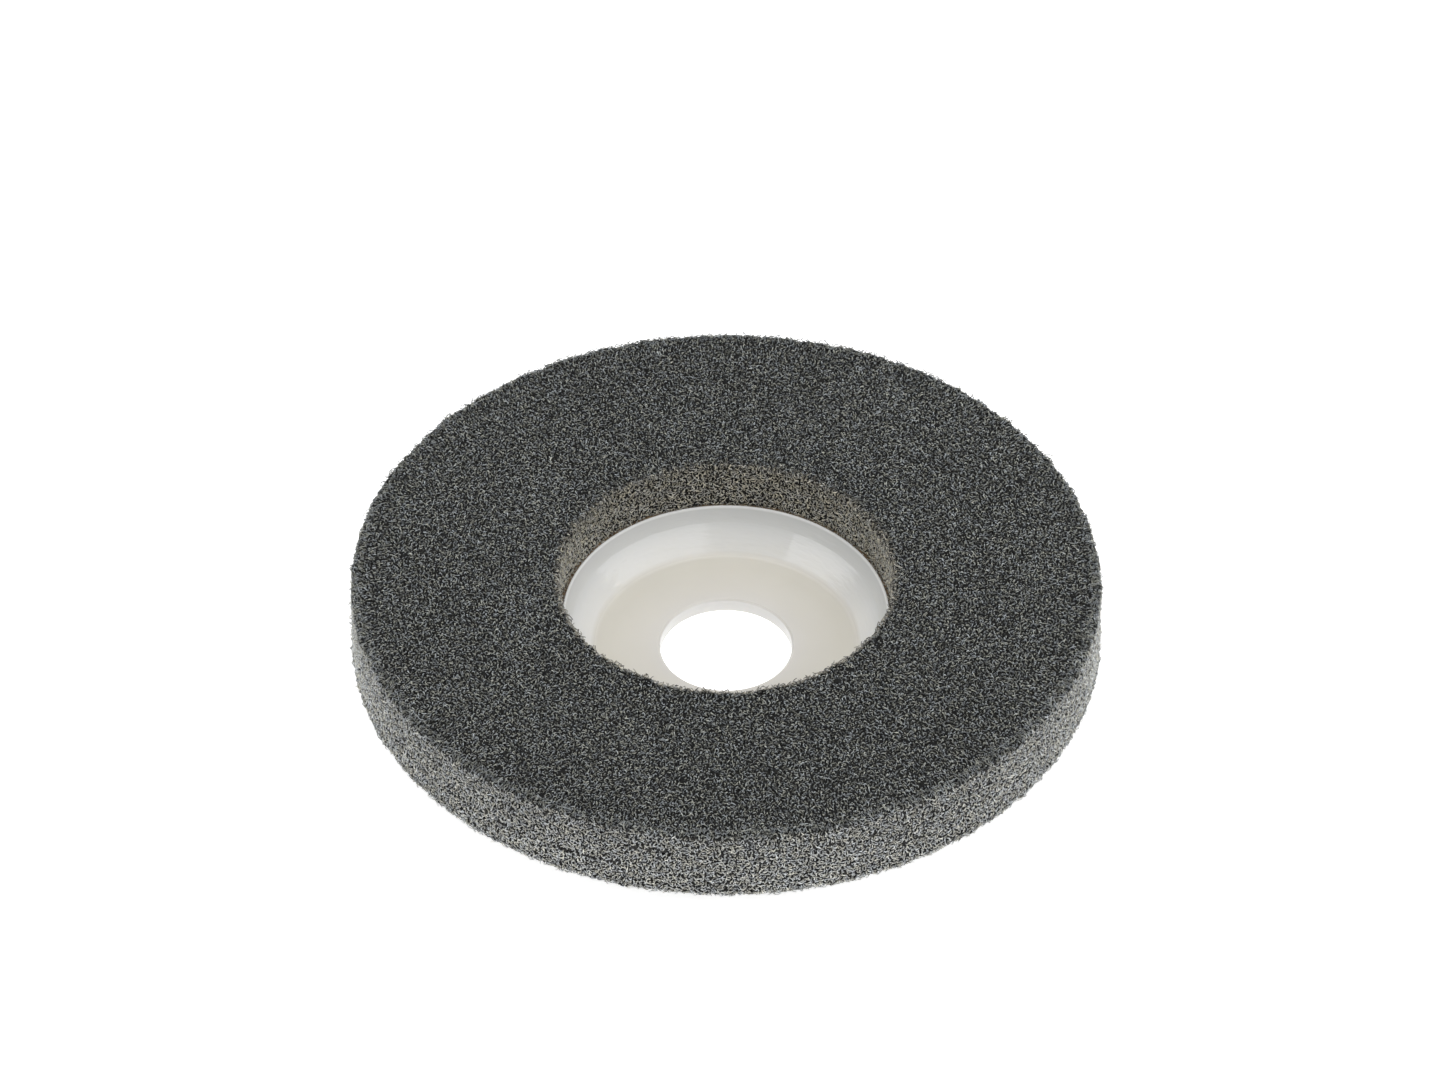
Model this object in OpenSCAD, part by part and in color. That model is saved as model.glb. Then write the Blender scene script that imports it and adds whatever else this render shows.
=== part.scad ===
// Polishing wheel: three plies of pressed fibre web, bonded to a moulded hub with a depressed centre.
// Millimetres. The axis of rotation is Z, the working face looks to +Z, and the hub's rear clamping face is z = 0.

/* [Web] */
// Outside diameter of the web
web_d = 125; // [110:1:150]
// Thickness of the whole web: three plies and the two bonds between them
web_t = 13; // [10:0.5:20]
// Diameter of the hole through the web
web_bore_d = 56; // [54:0.5:62]
// Radius of the round on the web's four edges
web_edge_r = 0.7; // [0.2:0.1:1.5]

/* [Bonds] */
// Thickness of the resin film between two plies
bond_t = 0.25; // [0.1:0.05:0.5]
// Distance that a resin film stops short of the web's side and bore
bond_inset = 0.2; // [0:0.1:0.5]
// Thickness of the adhesive between the hub's flange and the web
flange_glue_t = 0.3; // [0.1:0.1:0.6]
// Thickness of the adhesive between the hub's collar and the web's bore
collar_glue_t = 0.6; // [0.2:0.1:0.8]
// Depth of the adhesive below the collar's lip
collar_glue_drop = 0.8; // [0.2:0.1:2]

/* [Hub] */
// Diameter of the arbor bore
arbor_d = 22.23; // [20:0.01:25.4]
// Chamfer at both ends of the arbor bore
arbor_chamfer = 0.3; // [0.1:0.1:0.6]
// Height of the web's back above the hub's rear clamping face
web_lift = 5.1; // [4.5:0.1:7]
// Thickness of the hub's floor, between its two clamping faces
floor_t = 2.7; // [2.2:0.1:3.2]
// Diameter of the rear boss that carries the rear clamping face
boss_d = 48; // [46:0.5:50]
// Height of the collar's lip above the web's back
collar_h = 4.5; // [4:0.1:5]

/* [Bowl] */
// Diameter at which the bowl's slope would meet the floor
bowl_floor_d = 44.2; // [42:0.2:45]
// Diameter of the crease between the slope and the steeper rim above it
bowl_crease_d = 51.6; // [51:0.2:52]
// Slope of the bowl's wall up to the crease, in degrees from the floor
bowl_slope = 50.5; // [46:0.5:54]
// Radius of the fillet between the floor and the slope
bowl_fillet_r = 1.5; // [0.5:0.1:2.5]
// Width of the flat at the top of the lip
lip_w = 0.2; // [0.1:0.05:0.4]

/* [Flange] */
// Diameter of the flange behind the web
flange_d = 100; // [90:1:108]
// Thickness of the flange
flange_t = 2.2; // [1.8:0.1:2.4]
// Width of the bead around the flange's rim
bead_w = 3; // [2:0.5:5]
// Depth of the bead behind the flange
bead_h = 0.8; // [0.4:0.1:1.2]
// Number of stiffening ribs behind the flange
rib_count = 12; // [6:1:24]
// Width of a rib
rib_w = 1.8; // [1:0.1:3]
// Height of a rib's inner end above the rear clamping face
rib_clearance = 0.8; // [0.5:0.1:1.5]

/* [Hidden] */

web_colour = "#4f5250";
resin_colour = "#2c2d2b";
nylon_colour = "#e6e3d9";
adhesive_colour = "#6b5a40";

web_r = web_d / 2;
web_bore_r = web_bore_d / 2;
web_top_z = web_lift + web_t;
ply_t = (web_t - 2 * bond_t) / 3;
core_z = web_lift + ply_t + bond_t;
face_z = web_top_z - ply_t;

arbor_r = arbor_d / 2;
boss_r = boss_d / 2;
flange_r = flange_d / 2;
flange_top_z = web_lift - flange_glue_t;
flange_back_z = flange_top_z - flange_t;
bead_back_z = flange_back_z - bead_h;
bead_inner_r = flange_r - bead_w;
collar_r = web_bore_r - collar_glue_t;
lip_z = web_lift + collar_h;
bowl_floor_r = bowl_floor_d / 2;
crease_r = bowl_crease_d / 2;
crease_z = floor_t + (crease_r - bowl_floor_r) * tan(bowl_slope);
fillet_run = bowl_fillet_r * tan(bowl_slope / 2);

// Radius that takes the sharpness off the hub's moulded corners
corner_r = 0.4;
// Overlap that roots a rib in the hub
root = 0.3;
// Steps along a short arc
steps = 8;
$fn = 180;

// Points of the arc from p to q that turns left by `turn` degrees, or right if it is negative
function bend(p, q, turn) =
    let (heading = atan2(q.y - p.y, q.x - p.x) - turn / 2, r = norm(q - p) / 2 / sin(turn / 2))
    [for (i = [0:steps]) let (a = heading + turn * i / steps)
        p + r * [sin(a) - sin(heading), cos(heading) - cos(a)]];

// A flat ring between two radii, on z
module ring(inner_r, outer_r, z, height) {
    translate([0, 0, z])
        rotate_extrude()
            translate([inner_r, 0])
                square([outer_r - inner_r, height]);
}

// Outline of a ply of web, in radius and height: `top_r` and `back_r` round its upper and its lower edges
module ply_outline(height, top_r, back_r) {
    polygon(concat(
        back_r == 0 ? [[web_bore_r, 0], [web_r, 0]] : concat(
            bend([web_bore_r, back_r], [web_bore_r + back_r, 0], 90),
            bend([web_r - back_r, 0], [web_r, back_r], 90)),
        top_r == 0 ? [[web_r, height], [web_bore_r, height]] : concat(
            bend([web_r, height - top_r], [web_r - top_r, height], 90),
            bend([web_bore_r + top_r, height], [web_bore_r, height - top_r], 90))));
}

// A ply of web, on z
module ply(z, top_r = 0, back_r = 0) {
    translate([0, 0, z])
        rotate_extrude()
            ply_outline(ply_t, top_r, back_r);
}

module face_ply() {
    color(web_colour) ply(face_z, top_r = web_edge_r);
}

module core_ply() {
    color(web_colour) ply(core_z);
}

module back_ply() {
    color(web_colour) ply(web_lift, back_r = web_edge_r);
}

// The resin film whose lower side is at z
module bond(z) {
    color(resin_colour)
        ring(web_bore_r + bond_inset, web_r - bond_inset, z, bond_t);
}

module upper_bond() {
    bond(face_z - bond_t);
}

module lower_bond() {
    bond(core_z - bond_t);
}

// The rear of the hub: clamping face, boss, flange and its bead, from the bore out to the flange's rim
rear_outline = concat(
    [[arbor_r, arbor_chamfer], [arbor_r + arbor_chamfer, 0]],
    bend([boss_r - corner_r, 0], [boss_r, corner_r], 90),
    bend([boss_r, flange_back_z - corner_r], [boss_r + corner_r, flange_back_z], -90),
    [[bead_inner_r, flange_back_z]],
    bend([bead_inner_r + bead_h - corner_r / 2, bead_back_z + corner_r / 2],
         [bead_inner_r + bead_h, bead_back_z], 45),
    bend([flange_r - corner_r, bead_back_z], [flange_r, bead_back_z + corner_r], 90));

// The front of the hub: flange, collar, lip, crease, slope, floor and the bore's front chamfer
front_outline = concat(
    bend([flange_r, flange_top_z - corner_r], [flange_r - corner_r, flange_top_z], 90),
    [[collar_r, flange_top_z], [collar_r, lip_z], [collar_r - lip_w, lip_z], [crease_r, crease_z]],
    bend([bowl_floor_r + fillet_run * cos(bowl_slope), floor_t + fillet_run * sin(bowl_slope)],
         [bowl_floor_r - fillet_run, floor_t], -bowl_slope),
    [[arbor_r + arbor_chamfer, floor_t], [arbor_r, floor_t - arbor_chamfer]]);

// One stiffening rib, along +X, from the boss to the bead
module rib() {
    rotate([90, 0, 0])
        translate([0, 0, -rib_w / 2])
            linear_extrude(rib_w)
                polygon([[boss_r - root, rib_clearance], [bead_inner_r + bead_h, bead_back_z],
                         [bead_inner_r + bead_h, flange_back_z + root], [boss_r - root, flange_back_z + root]]);
}

module hub() {
    color(nylon_colour) {
        rotate_extrude()
            polygon(concat(rear_outline, front_outline));
        for (i = [0:rib_count - 1])
            rotate(i * 360 / rib_count)
                rib();
    }
}

// The adhesive reaches the flange's rounded rim
module flange_adhesive() {
    color(adhesive_colour)
        ring(web_bore_r, flange_r - corner_r, flange_top_z, flange_glue_t);
}

// The adhesive around the collar, from the flange to just below the lip
module collar_adhesive() {
    color(adhesive_colour)
        ring(collar_r, web_bore_r, flange_top_z, lip_z - collar_glue_drop - flange_top_z);
}

face_ply();
core_ply();
back_ply();
upper_bond();
lower_bond();
hub();
flange_adhesive();
collar_adhesive();
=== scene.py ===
"""The looks of a polishing wheel: three plies of pressed fibre web on a moulded nylon hub, on a pale floor.

Lengths are in metres, in the frame of the CAD model: +Z is the axis and looks to the working face.
"""

import math

import bpy
import numpy as np
from mathutils import Euler, Matrix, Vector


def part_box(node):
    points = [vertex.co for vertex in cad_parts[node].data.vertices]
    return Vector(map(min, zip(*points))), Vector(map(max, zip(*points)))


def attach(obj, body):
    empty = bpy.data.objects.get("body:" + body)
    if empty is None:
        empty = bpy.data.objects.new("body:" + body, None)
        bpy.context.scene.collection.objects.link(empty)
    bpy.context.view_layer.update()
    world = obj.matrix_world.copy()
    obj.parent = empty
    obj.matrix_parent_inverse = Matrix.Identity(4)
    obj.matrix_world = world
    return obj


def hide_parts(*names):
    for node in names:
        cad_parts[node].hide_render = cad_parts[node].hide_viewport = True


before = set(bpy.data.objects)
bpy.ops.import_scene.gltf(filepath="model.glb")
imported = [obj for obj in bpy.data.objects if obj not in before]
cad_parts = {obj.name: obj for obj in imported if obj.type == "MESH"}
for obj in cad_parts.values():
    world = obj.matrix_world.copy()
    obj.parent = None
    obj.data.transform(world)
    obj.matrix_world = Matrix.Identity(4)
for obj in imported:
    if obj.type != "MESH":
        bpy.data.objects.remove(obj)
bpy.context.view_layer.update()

MM = 0.001
TURN = 2 * math.pi

# ---------------------------------------------------------------- sizes, from the frame
WEB_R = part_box("face_ply")[1].x
BORE_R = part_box("collar_adhesive")[1].x
TOP_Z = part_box("face_ply")[1].z
FACE_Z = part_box("face_ply")[0].z
CORE_TOP_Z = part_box("core_ply")[1].z
CORE_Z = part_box("core_ply")[0].z
BACK_TOP_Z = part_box("back_ply")[1].z
BACK_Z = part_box("back_ply")[0].z
FLANGE_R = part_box("hub")[1].x
LIP_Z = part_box("hub")[1].z
EDGE_R = 0.7 * MM  # the round on the web's edges
COLLAR_GAP = 0.6 * MM  # between the hub's collar and the web's bore


# ---------------------------------------------------------------- shared tools
NOISE_VALUES = 4096  # how many random values the noise draws on: a power of two
NOISE_PRIMES = (73856093, 19349663, 83492791)  # they spread the corners of its cells over those values


def value_noise(points, size, seed):
    """Smooth noise from -1 to 1 at each point, with features about `size` across."""
    table = np.random.default_rng(seed).uniform(-1, 1, NOISE_VALUES)
    cell = points / size
    low = np.floor(cell).astype(np.int64)
    part = cell - low
    part = part * part * (3 - 2 * part)
    total = np.zeros(len(points))
    for corner in range(8):
        step = np.array([corner & 1, corner >> 1 & 1, corner >> 2 & 1])
        key = np.bitwise_xor.reduce((low + step) * NOISE_PRIMES, axis=1) & (NOISE_VALUES - 1)
        weight = np.where(step == 1, part, 1 - part).prod(axis=1)
        total += weight * table[key]
    return total


def make_piece(name, points, faces, materials, face_material=None, tone=None):
    """A smooth mesh piece from arrays: points (n, 3) and faces (m, 3) or (m, 4).

    face_material, one number for each face, is its place in the list of materials. tone, one value for each
    point, is kept as an attribute that the materials read."""
    mesh = bpy.data.meshes.new(name)
    sides = faces.shape[1]
    mesh.vertices.add(len(points))
    mesh.vertices.foreach_set("co", points.astype(np.float32).ravel())
    mesh.loops.add(faces.size)
    mesh.loops.foreach_set("vertex_index", faces.astype(np.int32).ravel())
    mesh.polygons.add(len(faces))
    mesh.polygons.foreach_set("loop_start", np.arange(0, faces.size, sides, dtype=np.int32))
    if face_material is not None:
        mesh.polygons.foreach_set("material_index", face_material.astype(np.int32))
    mesh.polygons.foreach_set("use_smooth", np.full(len(faces), True))
    for material in materials:
        mesh.materials.append(material)
    if tone is not None:
        mesh.attributes.new("tone", "FLOAT", "POINT").data.foreach_set("value", tone.astype(np.float32))
    mesh.update(calc_edges=True)
    mesh.validate()
    piece = bpy.data.objects.new(name, mesh)
    bpy.context.scene.collection.objects.link(piece)
    return piece


def place(piece, slot, *nodes):
    """The piece rides on the wheel and stands for CAD nodes, which it hides. Its slot is not used."""
    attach(piece, "root")
    if nodes:
        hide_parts(*nodes)


def ring_faces(rows, columns):
    """The four-sided faces of a closed ring: rows go round its section and columns round the axis."""
    i, j = np.meshgrid(np.arange(rows), np.arange(columns), indexing="ij")
    i2, j2 = (i + 1) % rows, (j + 1) % columns
    faces = np.stack([i * columns + j, i * columns + j2, i2 * columns + j2, i2 * columns + j], axis=-1)
    return faces.reshape(-1, 4)


# ---------------------------------------------------------------- tools for materials
def new_material(name):
    material = bpy.data.materials.new(name)
    material.use_nodes = True
    nodes = material.node_tree.nodes
    return material, nodes, material.node_tree.links, nodes["Principled BSDF"]


def grey(value):
    return (value, value, value)


def position_node(nodes):
    """Where a point is in the piece's own coordinates. One node serves the whole material."""
    where = nodes.get("where") or nodes.new("ShaderNodeTexCoord")
    where.name = "where"
    return where.outputs["Object"]


def scaled_node(nodes, links, vector, scale):
    """A vector with its three coordinates scaled."""
    scaled = nodes.new("ShaderNodeVectorMath")
    scaled.operation = "MULTIPLY"
    scaled.inputs[1].default_value = scale
    links.new(vector, scaled.inputs[0])
    return scaled.outputs["Vector"]


def height_node(nodes, links):
    """A point's height above the hub's rear face."""
    split = nodes.new("ShaderNodeSeparateXYZ")
    links.new(position_node(nodes), split.inputs["Vector"])
    return split.outputs["Z"]


def radius_node(nodes, links):
    """A point's distance from the axis."""
    radius = nodes.new("ShaderNodeVectorMath")
    radius.operation = "LENGTH"
    links.new(scaled_node(nodes, links, position_node(nodes), (1, 1, 0)), radius.inputs[0])
    return radius.outputs["Value"]


def noise_node(nodes, links, size, detail=2, rough=0.5, distortion=0, stretch=None):
    """A noise texture with features about `size` across. stretch, if given, scales the coordinates first."""
    noise = nodes.new("ShaderNodeTexNoise")
    noise.inputs["Scale"].default_value = 1 / size
    noise.inputs["Detail"].default_value = detail
    noise.inputs["Roughness"].default_value = rough
    noise.inputs["Distortion"].default_value = distortion
    vector = position_node(nodes)
    if stretch:
        vector = scaled_node(nodes, links, vector, stretch)
    links.new(vector, noise.inputs["Vector"])
    return noise.outputs["Fac"]


def share_node(nodes, links, source, low, high):
    """How far `source` has come from low to high, from 0 to 1."""
    share = nodes.new("ShaderNodeMapRange")
    share.inputs["From Min"].default_value = low
    share.inputs["From Max"].default_value = high
    links.new(source, share.inputs["Value"])
    return share.outputs["Result"]


def ramp_node(nodes, links, source, stops):
    """A colour ramp over `source`: stops are (position, (r, g, b))."""
    ramp = nodes.new("ShaderNodeValToRGB")
    elements = ramp.color_ramp.elements
    while len(elements) < len(stops):
        elements.new(0.5)
    for element, (position, colour) in zip(elements, stops):
        element.position = position
        element.color = (*colour, 1)
    links.new(source, ramp.inputs["Fac"])
    return ramp.outputs["Color"]


def banded_node(nodes, links, distance, stops):
    """A colour ramp over a distance: stops are (millimetres, (r, g, b))."""
    low, high = stops[0][0], stops[-1][0]
    share = share_node(nodes, links, distance, low * MM, high * MM)
    return ramp_node(nodes, links, share, [((at - low) / (high - low), colour) for at, colour in stops])


def multiplied(nodes, links, *colours):
    """The product of several colour sockets."""
    product = colours[0]
    for colour in colours[1:]:
        mix = nodes.new("ShaderNodeMix")
        mix.data_type = "RGBA"
        mix.blend_type = "MULTIPLY"
        sockets = {socket.identifier: socket for socket in mix.inputs}
        sockets["Factor_Float"].default_value = 1
        links.new(product, sockets["A_Color"])
        links.new(colour, sockets["B_Color"])
        product = next(socket for socket in mix.outputs if socket.identifier == "Result_Color")
    return product


# ---------------------------------------------------------------- the web's materials
def mottled(nodes, links, colour, cool, warm):
    """The web's colour with its faint clouds and streaks, and with hues that differ from strand to strand."""
    hue = noise_node(nodes, links, 0.9 * MM, detail=1)
    tint = ramp_node(nodes, links, hue, [(0.38, cool), (0.62, warm)])
    cloud = noise_node(nodes, links, 11 * MM, rough=0.55)
    shade = ramp_node(nodes, links, cloud, [(0.3, grey(0.955)), (0.7, grey(1.045))])
    streak = noise_node(nodes, links, 1, rough=0.6, stretch=(1 / (6 * MM), 1 / (45 * MM), 1 / (12 * MM)))
    band = ramp_node(nodes, links, streak, [(0.3, grey(0.925)), (0.7, grey(1.075))])
    return multiplied(nodes, links, colour, tint, shade, band)


def fibre_material(name, dark, light, cool, warm, grit=0.6, foot=1):
    """Resin-coated nylon fibre, from `dark` to `light` by each strand's own tone, darkened towards its buried
    parts as painted shade, between two tints.

    grit is the shade of its darkest specks, and foot is how much brighter it is at the web's back than at its
    working face, painted light for the floor's bounce light on the lower side wall."""
    material, nodes, links, shader = new_material(name)
    own = nodes.new("ShaderNodeAttribute")
    own.attribute_name = "tone"
    tone = ramp_node(nodes, links, own.outputs["Fac"], [(0, grey(dark)), (1, grey(light))])
    spots = noise_node(nodes, links, 0.3 * MM, rough=0.6)
    speck = ramp_node(nodes, links, spots, [(0.35, grey(grit)), (0.55, grey(1))])
    colour = multiplied(nodes, links, mottled(nodes, links, tone, cool, warm), speck)
    # painted light: brighter towards the web's back, where the floor's bounce light falls
    if foot != 1:
        height = share_node(nodes, links, height_node(nodes, links), BACK_Z, TOP_Z)
        painted_bounce_light = ramp_node(nodes, links, height, [(0, grey(1)), (0.4, grey(0.9)), (1, grey(1 / foot))])
        colour = multiplied(nodes, links, colour, painted_bounce_light)
    links.new(colour, shader.inputs["Base Color"])
    shader.inputs["Roughness"].default_value = 0.6
    shader.inputs["Specular IOR Level"].default_value = 0.35
    return material


def mat_material(name, dark, light, cool, warm):
    """The mass of fibre below the surface strands: dark pores between dull strands, painted near-black as
    shade for the shadow deep in the web.
    """
    material, nodes, links, shader = new_material(name)
    pore = noise_node(nodes, links, 0.42 * MM, rough=0.55, distortion=0.6)
    tone = ramp_node(nodes, links, pore, [(0.42, grey(dark)), (0.6, grey(light))])
    links.new(mottled(nodes, links, tone, cool, warm), shader.inputs["Base Color"])
    shader.inputs["Roughness"].default_value = 0.85
    shader.inputs["Specular IOR Level"].default_value = 0.2
    return material


def lint_material():
    """Pale stray fibre."""
    material, nodes, links, shader = new_material("lint")
    cloud = noise_node(nodes, links, 0.5 * MM)
    colour = ramp_node(nodes, links, cloud, [(0.35, (0.6, 0.58, 0.5)), (0.65, (0.85, 0.84, 0.78))])
    links.new(colour, shader.inputs["Base Color"])
    shader.inputs["Roughness"].default_value = 0.45
    return material


# each part of the web's skin has a cool and a warm tint
COOL = (0.92, 0.99, 1.04)
WARM = (1.01, 1.02, 0.90)
CUT_COOL = (0.95, 0.99, 1.02)
CUT_WARM = (1.03, 1.01, 0.90)
BORE_COOL = (1.0, 0.99, 0.93)
BORE_WARM = (1.08, 1.01, 0.82)
# the near-black colours of the web's mass are painted shade in its pores
WEB_MATS = [mat_material("web_face", 0.004, 0.016, COOL, WARM),
            mat_material("web_cut", 0.008, 0.04, CUT_COOL, CUT_WARM),
            mat_material("web_bore", 0.006, 0.03, BORE_COOL, BORE_WARM)]
FIBRES = [fibre_material("fibre_face", 0.01, 0.82, COOL, WARM),
          fibre_material("fibre_cut", 0.02, 1.0, CUT_COOL, CUT_WARM, grit=0.65, foot=1.27),
          fibre_material("fibre_bore", 0.02, 0.88, BORE_COOL, BORE_WARM)]
ON_FACE, ON_CUT, IN_BORE = range(3)  # places in those two lists


# ---------------------------------------------------------------- the hub's, resin's and adhesive's materials
# the hub's colour and roughness at heights in millimetres above its rear face: floor, slope, rim and lip. The
# colours are the nylon's cream and off-white with painted light and shade over them: a lightened slope,
# painted shade darkening the rim towards the lip, and a painted highlight on the lip's edge
HUB_TINTS_AND_PAINTED_SHADE = [(2.7, (0.705, 0.68, 0.611)), (2.95, (0.745, 0.725, 0.67)), (3.5, (0.80, 0.793, 0.766)),
              (4.8, (0.775, 0.773, 0.753)), (5.8, (0.75, 0.75, 0.735)), (6.8, (0.70, 0.705, 0.693)),
              (7.6, (0.65, 0.655, 0.642)), (9.2, (0.59, 0.595, 0.585)), (9.55, (0.88, 0.88, 0.87))]
HUB_ROUGHNESS = [(2.8, 0.3), (3.6, 0.06), (7.1, 0.06), (7.5, 0.25)]
# further colours at radii in millimetres: painted shade darkening the arbor bore and its chamfers, and
# painted light on the floor round it, lighter near the bore and darker out towards the slope
ARBOR_PAINTED_SHADE = [(11.12, (0.87, 0.885, 0.91)), (11.2, grey(0.86)), (11.38, grey(0.9)), (11.45, grey(1))]
BOWL_FLOOR_PAINTED_LIGHT = [(11.48, (1.015, 1.02, 1.07)), (14, (1.01, 1.01, 1.03)), (19.4, (0.972, 0.97, 0.965)),
                (22.64, grey(1))]


def nylon_material():
    """Off-white moulded nylon, a little see-through, with soft ripples from the mould. Its colour carries
    painted shade on the rim and in the arbor bore, a painted highlight on the lip, and painted light on the
    floor round the bore.
    """
    material, nodes, links, shader = new_material("nylon")
    height = height_node(nodes, links)
    radius = radius_node(nodes, links)
    cloud = noise_node(nodes, links, 14 * MM, detail=3)
    shade = ramp_node(nodes, links, cloud, [(0.3, grey(0.98)), (0.7, grey(1.02))])
    # painted light and shade by height and by radius, multiplied into the nylon's colour
    colour = multiplied(nodes, links, banded_node(nodes, links, height, HUB_TINTS_AND_PAINTED_SHADE), shade,
                        banded_node(nodes, links, radius, ARBOR_PAINTED_SHADE),
                        banded_node(nodes, links, radius, BOWL_FLOOR_PAINTED_LIGHT))
    links.new(colour, shader.inputs["Base Color"])
    gloss = banded_node(nodes, links, height, [(at, grey(value)) for at, value in HUB_ROUGHNESS])
    links.new(gloss, shader.inputs["Roughness"])
    bump = nodes.new("ShaderNodeBump")
    bump.inputs["Strength"].default_value = 0.6
    bump.inputs["Distance"].default_value = 0.12 * MM
    ripple = noise_node(nodes, links, 1, stretch=(1 / (3 * MM), 1 / (3 * MM), 1 / (0.6 * MM)))
    links.new(ripple, bump.inputs["Height"])
    links.new(bump.outputs["Normal"], shader.inputs["Normal"])
    shader.inputs["Subsurface Weight"].default_value = 0.3
    shader.inputs["Subsurface Radius"].default_value = (1.0, 0.95, 0.8)
    shader.inputs["Subsurface Scale"].default_value = 1.2 * MM
    return material


def resin_material(name, dark, light, roughness):
    """Set resin or adhesive, clouded between two colours."""
    material, nodes, links, shader = new_material(name)
    cloud = noise_node(nodes, links, 1.2 * MM, detail=3, rough=0.6)
    colour = ramp_node(nodes, links, cloud, [(0.35, dark), (0.65, light)])
    links.new(colour, shader.inputs["Base Color"])
    shader.inputs["Roughness"].default_value = roughness
    return material


RESIN = resin_material("cured_resin", (0.012, 0.012, 0.011), (0.035, 0.034, 0.032), 0.5)
ADHESIVE = resin_material("adhesive", (0.09, 0.055, 0.025), (0.2, 0.14, 0.075), 0.35)


# ---------------------------------------------------------------- the web's skin
SKIN_STEP = 0.05 * MM  # between the points that describe the web's outline
ARC_POINTS = 13  # along each rounded edge of it
BEHIND_FLANGE = 3 * MM  # how far the skin runs on behind the flange
EDGE_END = 0.2 * EDGE_R  # a rounded edge ends this close to the next face


def skin_outline():
    """The web's outline in radius and height, from the foot of its bore over the working face to its back.

    Returns distance along it, radius, height, and the outward normal, at close and even steps."""
    def corner(radius, height, start):
        angles = np.radians(start - np.linspace(0, 90, ARC_POINTS))
        return [(radius + EDGE_R * math.cos(a), height + EDGE_R * math.sin(a)) for a in angles]

    points = [(BORE_R, BACK_Z)]
    points += corner(BORE_R + EDGE_R, TOP_Z - EDGE_R, 180)
    points += corner(WEB_R - EDGE_R, TOP_Z - EDGE_R, 90)
    points += corner(WEB_R - EDGE_R, BACK_Z + EDGE_R, 0)
    points += [(FLANGE_R - BEHIND_FLANGE, BACK_Z)]
    points = np.array(points)
    along = np.concatenate([[0], np.cumsum(np.hypot(*np.diff(points, axis=0).T))])
    at = np.arange(0, along[-1], SKIN_STEP)
    radius, height = (np.interp(at, along, points[:, k]) for k in (0, 1))
    heading = np.gradient(np.stack([radius, height]), axis=1)
    heading /= np.hypot(*heading)
    return at, radius, height, -heading[1], heading[0]


SKIN_S, SKIN_R, SKIN_Z, SKIN_NR, SKIN_NZ = skin_outline()
S_FACE = float(SKIN_S[np.argmax(SKIN_R > BORE_R + EDGE_R)])  # where the working face begins
S_SIDE = float(SKIN_S[np.argmax(SKIN_R > WEB_R - EDGE_END)])  # where the side wall begins
S_BACK = float(SKIN_S[np.argmax((SKIN_S > S_SIDE) & (SKIN_Z < BACK_Z + EDGE_END))])  # where the back begins

LUMPS = [(0.055 * MM, 2.3 * MM, 5), (0.065 * MM, 0.9 * MM, 6)]  # height, width and seed
RIM_REACH = 1.1 * MM  # how far from the web's edges its lumps are higher
TOP_RIM_LUMPS = 4  # how many times their own height is added at the edges of the working face
BACK_RIM_LUMPS = 1.5  # and at the edges of the back
BACK_RIM_SWELL = 0.17 * MM  # how far the edges at the back bulge


def swell(points):
    """The lumpiness of the pressed web: how far its skin stands above or below its true outline."""
    r, z = np.hypot(points[..., 0], points[..., 1]), points[..., 2]
    across = np.minimum(np.abs(r - WEB_R), np.abs(r - BORE_R))
    top, back = (np.exp(-(across ** 2 + (z - level) ** 2) / RIM_REACH ** 2) for level in (TOP_Z, BACK_Z))
    lumps = sum(height * value_noise(points, width, seed) for height, width, seed in LUMPS)
    return lumps * (1 + TOP_RIM_LUMPS * top + BACK_RIM_LUMPS * back) + BACK_RIM_SWELL * back


def on_skin(theta, s, lift):
    """Points in space for places on the skin: angle, distance along the outline, and height above it."""
    radius, height, nr, nz = (np.interp(s, SKIN_S, a) for a in (SKIN_R, SKIN_Z, SKIN_NR, SKIN_NZ))
    k = np.shape(theta)[-1] // 2
    r, a = radius[..., k], theta[..., k]
    lift = lift + swell(np.stack([r * np.cos(a), r * np.sin(a), height[..., k]], axis=-1))[..., None]
    r = radius + nr * lift
    return np.stack([r * np.cos(theta), r * np.sin(theta), height + nz * lift], axis=-1)


# ---------------------------------------------------------------- the plies
HIDDEN_R = 0.18 * MM  # the round on a ply's edges against the next ply
HIDDEN_STEP = 6 * MM  # between rows where nothing shows
UNDER_FLANGE = 2 * MM  # how far the fine rows run on behind the flange
PITS = [(0.6, 0.8 * MM), (0.5, 0.42 * MM)]  # strength and width
PIT_DEPTH = 0.5 * MM
PIT_BIAS = 0.35  # pits are deeper than the bumps between them are high


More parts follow.
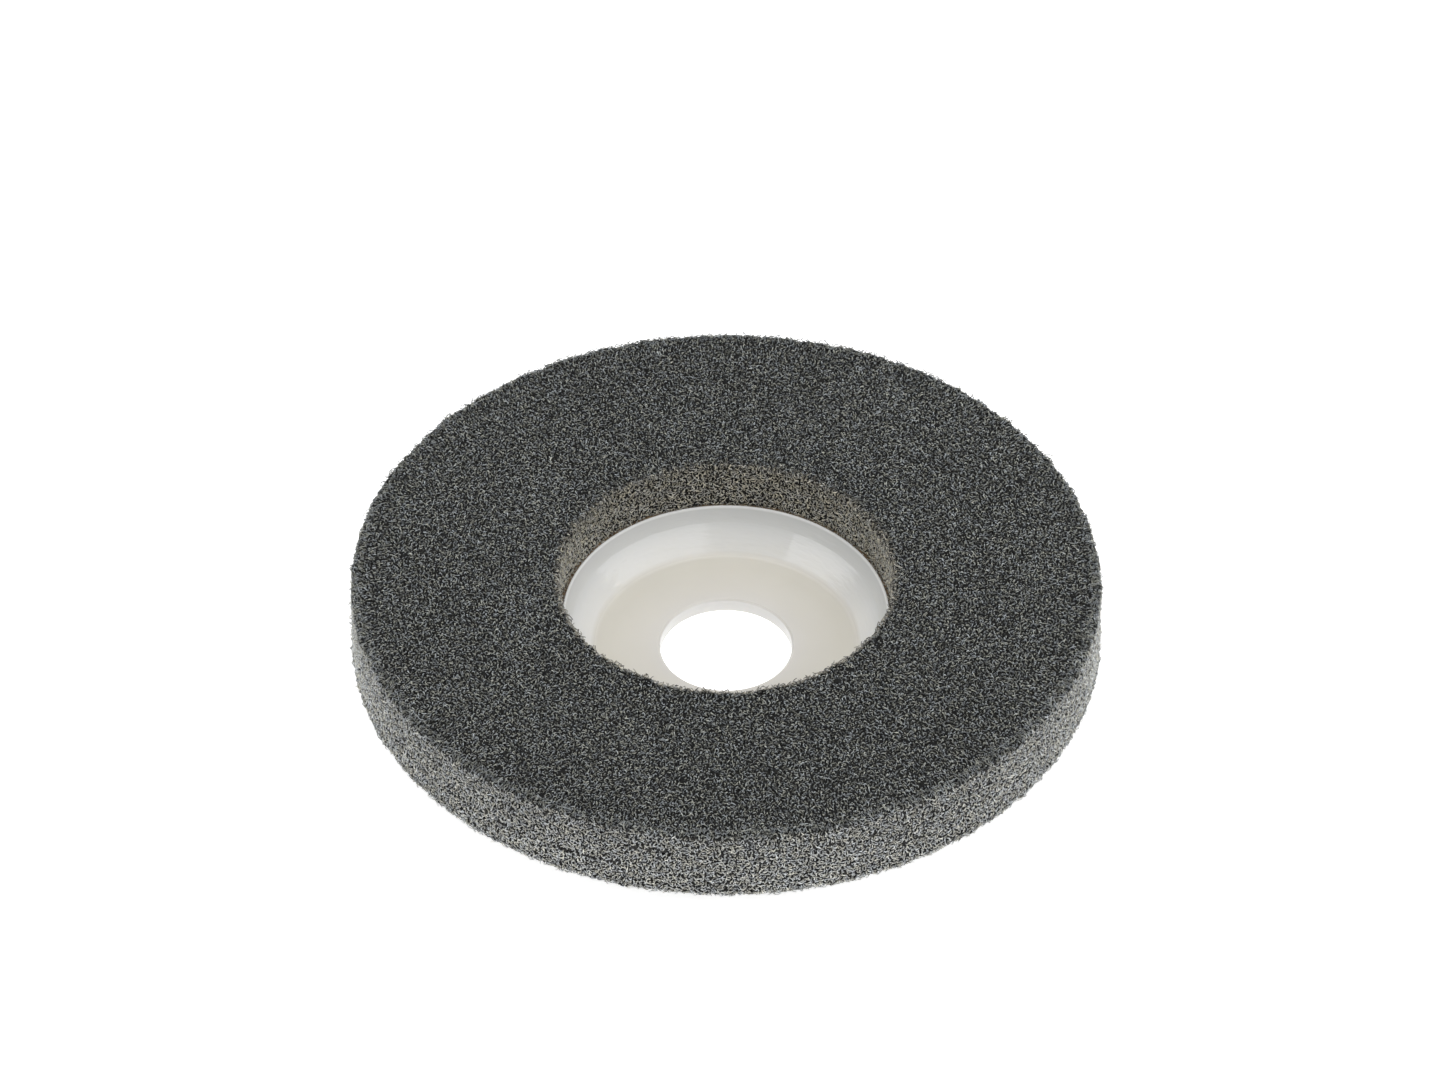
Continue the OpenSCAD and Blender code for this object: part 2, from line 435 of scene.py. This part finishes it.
def section(low, high, step, top_shown=False, back_shown=False):
    """The rows of a ply's section, clockwise from the foot of its bore wall.

    Each is (radius, height, normal r, normal z, share of the relief, place in the list of materials)."""
    rows = []

    def line(start, end, normal, share, material, spacing):
        count = max(2, int(round(math.dist(start, end) / spacing)))
        for k in range(count):
            r, z = (a + (b - a) * (k / count) for a, b in zip(start, end))
            rows.append((r, z, *normal, share, material))

    def arc(r, z, radius, start, first, second):
        count = max(2, int(round(radius * math.pi / 2 / step)))
        for k in range(count):
            angle = math.radians(start - 90 * k / count)
            nr, nz = math.cos(angle), math.sin(angle)
            rows.append((r + radius * nr, z + radius * nz, nr, nz, 1, first if k * 2 < count else second))

    top_r = EDGE_R if top_shown else HIDDEN_R
    back_r = EDGE_R if back_shown else HIDDEN_R
    line((BORE_R, low + back_r), (BORE_R, high - top_r), (-1, 0), 1, IN_BORE, step)
    arc(BORE_R + top_r, high - top_r, top_r, 180, IN_BORE, ON_FACE if top_shown else IN_BORE)
    if top_shown:
        line((BORE_R + top_r, high), (WEB_R - top_r, high), (0, 1), 1, ON_FACE, step)
    else:
        line((BORE_R + top_r, high), (WEB_R - top_r, high), (0, 1), 0, ON_CUT, HIDDEN_STEP)
    arc(WEB_R - top_r, high - top_r, top_r, 90, ON_FACE if top_shown else ON_CUT, ON_CUT)
    line((WEB_R, high - top_r), (WEB_R, low + back_r), (1, 0), 1, ON_CUT, step)
    arc(WEB_R - back_r, low + back_r, back_r, 0, ON_CUT, ON_FACE if back_shown else ON_CUT)
    if back_shown:
        fine_end = FLANGE_R - UNDER_FLANGE
        line((WEB_R - back_r, low), (fine_end, low), (0, -1), 1, ON_FACE, step)
        line((fine_end, low), (BORE_R + back_r, low), (0, -1), 0, ON_FACE, HIDDEN_STEP)
    else:
        line((WEB_R - back_r, low), (BORE_R + back_r, low), (0, -1), 0, ON_CUT, HIDDEN_STEP)
    arc(BORE_R + back_r, low + back_r, back_r, 270, IN_BORE, IN_BORE)
    return rows


def web_body(name, node, rows, columns, seed):
    """One ply's own mass: a closed ring whose skin is pitted by noise. rows are from `section`."""
    rows = np.array(rows)
    r, z, nr, nz, share, material = (np.repeat(rows[:, k], columns) for k in range(6))
    theta = np.tile(np.arange(columns) * TURN / columns, len(rows))
    points = np.stack([r * np.cos(theta), r * np.sin(theta), z], axis=1)
    normal = np.stack([nr * np.cos(theta), nr * np.sin(theta), nz], axis=1)
    pit = sum(strength * value_noise(points, width, seed + k) for k, (strength, width) in enumerate(PITS))
    points += normal * (((pit - PIT_BIAS) * PIT_DEPTH + swell(points)) * share)[:, None]
    piece = make_piece(name, points, ring_faces(len(rows), columns), WEB_MATS, material)
    place(piece, "fibre_web", node)


web_body("face_web", "face_ply", section(FACE_Z, TOP_Z, 0.4 * MM, top_shown=True), 760, 11)
web_body("core_web", "core_ply", section(CORE_Z, CORE_TOP_Z, 0.32 * MM), 1200, 21)
web_body("back_web", "back_ply", section(BACK_Z, BACK_TOP_Z, 0.4 * MM, back_shown=True), 900, 31)


# ---------------------------------------------------------------- strands of fibre
OFF_AXIS = np.array([0.31, 0.55, 0.77])  # a direction that hardly any strand runs along
SEAM_DRIFT = [(1, 5 * MM, 7), (0.7, 1.6 * MM, 8)]  # strength, width and seed
SEAM_LEVEL = 0.1  # a seam is open where its drift is above this
SEAM_HALF_W = 0.2 * MM  # half the width of an opened seam
SEAM_SHARE = 0.6  # the share of an opened seam's strands that are missing
COMB_SPREAD = 0.45  # the spread of a combed strand's heading, in radians
KINK = 0.3  # the spread of the kinks along a strand, in radians
# painted shade: the lower parts of each strand are darkened, for the shadow deep in the web
PAINTED_DEPTH_SHADE = 0.25  # how bright the lowest part of a strand is, as a share of its own tone


def strand_mesh(paths, radius, twist):
    """Closed three-sided tubes along paths (n, k, 3): the points and the triangles."""
    n, k, _ = paths.shape
    ahead = np.gradient(paths, axis=1)
    ahead /= np.linalg.norm(ahead, axis=2, keepdims=True)
    side = np.cross(ahead, OFF_AXIS)
    side /= np.linalg.norm(side, axis=2, keepdims=True)
    other = np.cross(ahead, side)
    rings = []
    for corner in range(3):
        angle = (twist + corner * TURN / 3)[:, None, None]
        rings.append(paths + radius[:, None, None] * (side * np.cos(angle) + other * np.sin(angle)))
    rings = np.stack(rings, axis=2).reshape(n, k * 3, 3)
    tips = np.stack([paths[:, 0] - ahead[:, 0] * radius[:, None],
                     paths[:, -1] + ahead[:, -1] * radius[:, None]], axis=1)
    points = np.concatenate([rings, tips], axis=1)
    faces = []
    for ring in range(k - 1):
        for c in range(3):
            a, b = ring * 3 + c, ring * 3 + (c + 1) % 3
            faces += [(a, b, b + 3), (a, b + 3, a + 3)]
    for c in range(3):
        faces += [((c + 1) % 3, c, k * 3), (k * 3 - 3 + c, k * 3 - 3 + (c + 1) % 3, k * 3 + 1)]
    faces = np.array(faces)[None] + (np.arange(n) * (k * 3 + 2))[:, None, None]
    return points.reshape(-1, 3), faces.reshape(-1, 3)


def scatter(rng, s_range, spacing, soft=(0, 0), jitter=0.8):
    """Places on part of the skin, about `spacing` apart: angles and distances along the outline.

    Over the two distances `soft`, at the start and at the end, the places thin out to none."""
    thetas, distances = [], []
    for s in np.arange(s_range[0] + spacing / 2, s_range[1], spacing):
        n = int(round(TURN * float(np.interp(s, SKIN_S, SKIN_R)) / spacing))
        turned = np.arange(n) + rng.uniform(0, 1) + jitter * rng.uniform(-0.5, 0.5, n)
        thetas.append(turned * TURN / n % TURN)
        distances.append(s + jitter * rng.uniform(-0.5, 0.5, n) * spacing)
    theta, s = np.concatenate(thetas), np.concatenate(distances)
    luck = rng.random(len(s))
    kept = (luck * soft[0] <= s - s_range[0]) & (luck * soft[1] <= s_range[1] - s)
    return theta[kept], s[kept]


def open_seams(rng, theta, s, seams):
    """Opens stretches of the seams, and returns the places that are left.

    seams are distances along the outline."""
    for seam in seams:
        rim = np.stack([np.cos(theta), np.sin(theta), np.full(len(s), seam / WEB_R)], axis=1) * WEB_R
        drift = sum(strength * value_noise(rim, width, seed) for strength, width, seed in SEAM_DRIFT)
        opened = (drift > SEAM_LEVEL) & (np.abs(s - seam) < SEAM_HALF_W)
        kept = ~(opened & (rng.random(len(s)) < SEAM_SHARE))
        theta, s = theta[kept], s[kept]
    return theta, s


def lay_strands(rng, s_range, spacing, length, radius, lift, arch, curl, tone, combed=None, rings=4, stand=0,
                rise=(0.2 * MM, 0.65 * MM), soft=(0, 0), seams=()):
    """Curled strands all over part of the skin: their paths, radii, twists and tones, the tones with painted
    shade towards each strand's lowest parts.

    length, radius, lift and tone are (lowest, highest); arch is how far a strand's middle rises above its
    ends; curl is the spread of its bend, in radians; stand is the share with one end that stands up, by rise;
    combed is (from, to, share): between those distances the share that lies across the rim rises from none;
    soft is as in `scatter`, and seams as in `open_seams`."""
    theta0, s0 = open_seams(rng, *scatter(rng, s_range, spacing, soft), seams)
    count = len(s0)
    reach = rng.uniform(*length, count)
    heading = rng.uniform(0, TURN, count)
    if combed:
        share = np.clip((s0 - combed[0]) / (combed[1] - combed[0]), 0, 1) * combed[2]
        lies_across = rng.random(count) < share
        heading = np.where(lies_across, math.pi / 2 + rng.normal(0, COMB_SPREAD, count), heading)
    bend = rng.normal(0, curl, count)
    t = np.linspace(-0.5, 0.5, rings)
    middle = (t[1:] + t[:-1]) / 2
    angle = heading[:, None] + bend[:, None] * middle + rng.normal(0, KINK, (count, rings - 1))
    step = reach[:, None] / (rings - 1)
    du, ds = (np.concatenate([np.zeros((count, 1)), np.cumsum(f(angle) * step, axis=1)], axis=1)
              for f in (np.cos, np.sin))
    du -= du.mean(axis=1, keepdims=True)
    ds -= ds.mean(axis=1, keepdims=True)
    s = np.clip(s0[:, None] + ds, SKIN_S[0], SKIN_S[-1])
    theta = theta0[:, None] + du / np.interp(s0, SKIN_S, SKIN_R)[:, None]
    height = rng.uniform(*lift, count)[:, None] - arch * (2 * t) ** 2
    raised = np.where(rng.random(count) < stand, rng.uniform(*rise, count), 0)
    height = height + raised[:, None] * (t[None] + 0.5)
    # painted shade: a strand is darker the lower it lies
    share = np.clip((height - lift[0] + arch) / (lift[1] - lift[0] + arch), 0, 1)
    tone_with_painted_shade = rng.uniform(*tone, count)[:, None] * (PAINTED_DEPTH_SHADE + (1 - PAINTED_DEPTH_SHADE) * share)
    return on_skin(theta, s, height), rng.uniform(*radius, count), rng.uniform(0, TURN, count), tone_with_painted_shade


def fibre_pieces(name, seed, parts, layers):
    """Pieces of many strands, one for each equal sector.

    layers is a list of (arguments of lay_strands, place in the list of materials)."""
    rng = np.random.default_rng(seed)
    laid = [(lay_strands(rng, **settings), material) for settings, material in layers]
    for part in range(parts):
        points, faces, face_materials, tones, start = [], [], [], [], 0
        for (paths, radius, twist, tone_with_painted_shade), material in laid:
            middle = paths[:, paths.shape[1] // 2]
            sector = (np.arctan2(middle[:, 1], middle[:, 0]) % TURN * parts / TURN).astype(int) % parts
            mine = sector == part
            new_points, new_faces = strand_mesh(paths[mine], radius[mine], twist[mine])
            tone_with_painted_shade = tone_with_painted_shade[mine]
            tone = np.concatenate([np.repeat(tone_with_painted_shade, 3, axis=1), tone_with_painted_shade[:, :1], tone_with_painted_shade[:, -1:]], axis=1)
            points.append(new_points)
            faces.append(new_faces + start)
            face_materials.append(np.full(len(new_faces), material))
            tones.append(tone.ravel())
            start += len(new_points)
        label = f"{name}_{part + 1}" if parts > 1 else name
        piece = make_piece(label, np.concatenate(points), np.concatenate(faces), FIBRES,
                           np.concatenate(face_materials), np.concatenate(tones))
        place(piece, "fibre_web")


# each part of the skin has a deep layer of strands under a bright one, kept near-black as painted shade for
# the shadow beneath the surface
DEEP = dict(spacing=0.7 * MM, rings=3, length=(0.8 * MM, 1.6 * MM), radius=(0.07 * MM, 0.11 * MM),
            lift=(-0.3 * MM, -0.1 * MM), arch=0.1 * MM, curl=1.6, tone=(0, 0.08))
SHOWN = dict(spacing=0.47 * MM, length=(0.28 * MM, 0.75 * MM), radius=(0.06 * MM, 0.1 * MM),
             lift=(0, 0.12 * MM), arch=0.16 * MM, curl=2.2, tone=(0.2, 1), stand=0.04)
CUT_DEEP = dict(DEEP, spacing=0.6 * MM, tone=(0, 0.09))
CUT_SHOWN = dict(SHOWN, spacing=0.46 * MM, length=(0.35 * MM, 0.8 * MM), radius=(0.075 * MM, 0.115 * MM),
                 lift=(0.02 * MM, 0.14 * MM), arch=0.1 * MM, tone=(0.85, 1))
GAP_COVER = dict(CUT_SHOWN, spacing=0.4 * MM, lift=(0.1 * MM, 0.5 * MM), tone=(0.2, 0.75))
BACK_DEEP = dict(DEEP, spacing=0.9 * MM)
BACK_SHOWN = dict(SHOWN, spacing=0.65 * MM, length=(0.6 * MM, 1.5 * MM), radius=(0.07 * MM, 0.11 * MM))

# where they lie, as distances along the outline, and how gradually one part's strands give way to the next's
S_LIP = LIP_Z - BACK_Z
BORE_BLEND = 0.25 * MM
BLEND = 0.45 * MM
GAP = (S_LIP - 0.8 * MM, S_LIP + 0.2 * MM)
BORE = (S_LIP - 0.5 * MM, S_FACE - 0.1 * MM)
FACE = (S_FACE - 0.4 * MM, S_SIDE + 0.35 * MM)
SIDE = (S_SIDE - 0.1 * MM, S_BACK + 0.3 * MM)
BACK = (S_BACK, float(SKIN_S[-1]))
COMBED = (S_SIDE - 8 * MM, S_SIDE - 2 * MM, 0.6)
SEAMS = [S_SIDE + TOP_Z - EDGE_R - (low + high) / 2
         for low, high in ((CORE_TOP_Z, FACE_Z), (BACK_TOP_Z, CORE_Z))]

fibre_pieces("face_fibres", 100, 8, [
    (dict(DEEP, s_range=FACE), ON_FACE),
    (dict(SHOWN, s_range=FACE, combed=COMBED, soft=(BORE_BLEND, BLEND)), ON_FACE)])
fibre_pieces("bore_fibres", 200, 2, [
    (dict(CUT_DEEP, s_range=BORE), IN_BORE),
    (dict(CUT_SHOWN, s_range=BORE, soft=(0, BORE_BLEND)), IN_BORE),
    (dict(GAP_COVER, s_range=GAP), IN_BORE)])
fibre_pieces("side_fibres", 300, 5, [
    (dict(CUT_DEEP, s_range=SIDE), ON_CUT),
    (dict(CUT_SHOWN, s_range=SIDE, soft=(BLEND, BLEND), seams=SEAMS), ON_CUT)])
fibre_pieces("back_fibres", 400, 3, [
    (dict(BACK_DEEP, s_range=BACK), ON_FACE),
    (dict(BACK_SHOWN, s_range=BACK), ON_FACE)])

# loose ends along the web's edges
LOOSE = dict(spacing=0.55 * MM, length=(0.5 * MM, 1.2 * MM), radius=(0.055 * MM, 0.09 * MM),
             lift=(0, 0.15 * MM), arch=0.05 * MM, curl=1.8, tone=(0.1, 0.7), stand=0.8,
             rise=(0.15 * MM, 0.65 * MM))
RIM = (S_SIDE - 1.6 * MM, S_SIDE + 0.1 * MM)
BORE_RIM = (S_FACE - 1.2 * MM, S_FACE + 0.2 * MM)
BACK_RIM = (S_BACK - 1 * MM, S_BACK)
fibre_pieces("edge_fibres", 500, 1, [
    (dict(LOOSE, s_range=RIM), ON_FACE),
    (dict(LOOSE, s_range=BORE_RIM, tone=(0.05, 0.4)), IN_BORE),
    (dict(LOOSE, s_range=BACK_RIM, tone=(0.2, 0.7), rise=(0.1 * MM, 0.4 * MM)), ON_CUT)])


# ---------------------------------------------------------------- stray fibres
STRAY_COUNT = 26
GRAIN_SHARE = 0.4  # the share of them that are short, thick grains
STRAY_LIFT = 0.15 * MM  # how high they lie on the web
STRAY_POINTS = 7  # along each
STRAY_TWIST = 0.4


def stray_path(theta, s, heading, length, curl):
    """A curved path on the skin about a place given as an angle and a distance along the outline."""
    t = np.linspace(-0.5, 0.5, STRAY_POINTS)
    angle = heading + curl * t
    du, ds = (np.cumsum(f(angle)) * length / len(t) for f in (np.cos, np.sin))
    across = theta + (du - du.mean()) / np.interp(s, SKIN_S, SKIN_R)
    return on_skin(across[None], (s + ds - ds.mean())[None], np.full((1, len(t)), STRAY_LIFT))


def strays():
    """Pale stray fibres and grains caught in the web.

    One long fibre lies across the edge of its bore, one grain is low on its side, and the rest are anywhere
    on its face and side."""
    rng = np.random.default_rng(600)
    # each is (angle, distance along the outline, heading, length, curl, radius)
    laid = [(math.radians(5), S_FACE + 0.1 * MM, -0.9, 1.9 * MM, 1, 0.085 * MM),
            (math.radians(-96), S_BACK - 3 * MM, 0.4, 0.3 * MM, 0, 0.14 * MM)]
    for _ in range(STRAY_COUNT):
        grain = rng.random() < GRAIN_SHARE
        laid.append((rng.uniform(0, TURN), rng.uniform(S_FACE, S_BACK), rng.uniform(0, TURN),
                     (0.2 if grain else rng.uniform(0.6, 1.5)) * MM, rng.normal(0, 1.2),
                     (rng.uniform(0.1, 0.14) if grain else rng.uniform(0.05, 0.07)) * MM))
    twist = np.array([STRAY_TWIST])
    meshes = [strand_mesh(stray_path(*path), np.array([radius]), twist) for *path, radius in laid]
    starts = np.cumsum([0] + [len(points) for points, _ in meshes[:-1]])
    piece = make_piece("stray_fibres", np.concatenate([points for points, _ in meshes]),
                       np.concatenate([faces + start for (_, faces), start in zip(meshes, starts)]),
                       [lint_material()])
    place(piece, "fibre_web")


strays()


# ---------------------------------------------------------------- hub, resin and adhesive
def paint(node, material):
    """Gives a CAD node a new material."""
    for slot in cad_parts[node].material_slots:
        slot.material = material


GLUE_DRIFT = [(0.65, 3 * MM, 41), (0.35, 0.8 * MM, 42)]  # strength, width and seed


def glue(name, node, outline, columns=900):
    """A closed ring of set adhesive, with an uneven surface.

    outline goes round its section: (radius, height, swing out, swing up), where the swings are how far the
    surface wanders."""
    rows = np.array(outline)
    radius, height, out, up = (np.repeat(rows[:, k], columns) for k in range(4))
    theta = np.tile(np.arange(columns) * TURN / columns, len(rows))
    round_axis = np.stack([radius * np.cos(theta), radius * np.sin(theta), np.zeros(len(theta))], axis=1)
    drift = sum(strength * value_noise(round_axis, width, seed) for strength, width, seed in GLUE_DRIFT)
    radius = radius + out * drift
    points = np.stack([radius * np.cos(theta), radius * np.sin(theta), height + up * drift], axis=1)
    piece = make_piece(name, points, ring_faces(len(rows), columns), [ADHESIVE])
    place(piece, "adhesive", node)


def collar_bead():
    """The adhesive between the hub's collar and the web's bore, up to just below the lip."""
    inner = BORE_R - COLLAR_GAP + 0.01 * MM  # just off the collar
    outer = BORE_R + 0.35 * MM  # a little way into the web
    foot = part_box("collar_adhesive")[0].z
    top = LIP_Z - 0.3 * MM
    swing = 0.24 * MM
    # the free surface: share of the way across, and millimetres above `top`
    crown = [(0, 0), (0.35, 0.06), (0.7, 0.08), (0.9, 0.02), (1, -0.15)]
    surface = [(inner + (outer - inner) * share, top + above * MM, 0, swing) for share, above in crown]
    glue("collar_bead", "collar_adhesive", [(inner, foot, 0, 0), *surface, (outer, foot, 0, 0)])


def flange_bead():
    """The adhesive between the hub's flange and the web, with what squeezed out round the flange's rim."""
    low, high = (corner.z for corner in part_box("flange_adhesive"))
    swing = 0.3 * MM
    glue("flange_bead", "flange_adhesive",
         [(BORE_R, low, 0, 0), (BORE_R, high, 0, 0), (FLANGE_R - 1 * MM, high, 0, 0),
          (FLANGE_R + 0.05 * MM, high + 0.1 * MM, swing, 0),
          (FLANGE_R + 0.2 * MM, high - 0.12 * MM, swing, 0),
          (FLANGE_R + 0.1 * MM, low - 0.05 * MM, swing, 0),
          (FLANGE_R - 0.2 * MM, low - 0.12 * MM, 0, 0), (FLANGE_R - 1 * MM, low, 0, 0)])


paint("hub", nylon_material())
paint("upper_bond", RESIN)
paint("lower_bond", RESIN)
collar_bead()
flange_bead()


# ---------------------------------------------------------------- floor, light and camera
def make_floor():
    """A pale floor that glows a little, so that it is as white as the sweep of a studio."""
    bpy.ops.mesh.primitive_plane_add(size=6)
    floor = bpy.context.object
    floor.name = "floor"
    material, _, _, shader = new_material("pale_floor")
    shader.inputs["Base Color"].default_value = (0.93, 0.93, 0.93, 1)
    shader.inputs["Roughness"].default_value = 0.8
    shader.inputs["Emission Color"].default_value = (1, 1, 1, 1)
    shader.inputs["Emission Strength"].default_value = 0.75
    floor.data.materials.append(material)


def make_softbox(name, azimuth, elevation, distance, width, height, power, roll=0, target=(0, 0, 0.01)):
    """A rectangular light that faces the wheel. Azimuth 0 is behind the camera, 90 is at its right."""
    data = bpy.data.lights.new(name, "AREA")
    data.shape = "RECTANGLE"
    data.size = width
    data.size_y = height
    data.energy = power
    light = bpy.data.objects.new(name, data)
    a, e = math.radians(azimuth), math.radians(elevation)
    outward = np.array([math.sin(a) * math.cos(e), -math.cos(a) * math.cos(e), math.sin(e)])
    facing = Euler((math.pi / 2 - e, 0, a)).to_matrix() @ Matrix.Rotation(math.radians(roll), 3, "Z")
    light.location = np.array(target) + distance * outward
    light.rotation_euler = facing.to_euler()
    bpy.context.scene.collection.objects.link(light)


def make_camera():
    """The camera looks along +Y and down, from a long way off with a long lens."""
    elevation = math.radians(41.94)
    distance = 1.281
    aim = np.array([-0.0006, 0.0038, 0.0224])
    data = bpy.data.cameras.new("camera")
    data.sensor_width = 36
    data.lens = 191.3
    camera = bpy.data.objects.new("camera", data)
    camera.location = aim + distance * np.array([0, -math.cos(elevation), math.sin(elevation)])
    camera.rotation_euler = (math.pi / 2 - elevation, 0, 0)
    bpy.context.scene.collection.objects.link(camera)
    bpy.context.scene.camera = camera


def make_world(strength):
    """Even light from all round, as strong as `strength`. Past the floor's edge the picture is white."""
    world = bpy.data.worlds.new("studio")
    world.use_nodes = True
    nodes, links = world.node_tree.nodes, world.node_tree.links
    background = nodes["Background"]
    background.inputs["Color"].default_value = (1, 1, 1, 1)
    seen = nodes.new("ShaderNodeLightPath")
    level = nodes.new("ShaderNodeMapRange")
    level.inputs["To Min"].default_value = strength
    level.inputs["To Max"].default_value = 1
    links.new(seen.outputs["Is Camera Ray"], level.inputs["Value"])
    links.new(level.outputs["Result"], background.inputs["Strength"])
    bpy.context.scene.world = world


make_floor()
make_world(0.405)
make_softbox("overhead", azimuth=0, elevation=90, distance=1.4, width=1.6, height=1.6, power=12.8)
make_softbox("right_softbox", azimuth=62, elevation=33, distance=1.2, width=1.88, height=0.6, power=5.2,
             roll=-19)
make_softbox("left_softbox", azimuth=-78, elevation=25, distance=1.2, width=1.18, height=0.36, power=2.3,
             roll=22)
make_camera()
bpy.context.scene.view_settings.view_transform = "Standard"
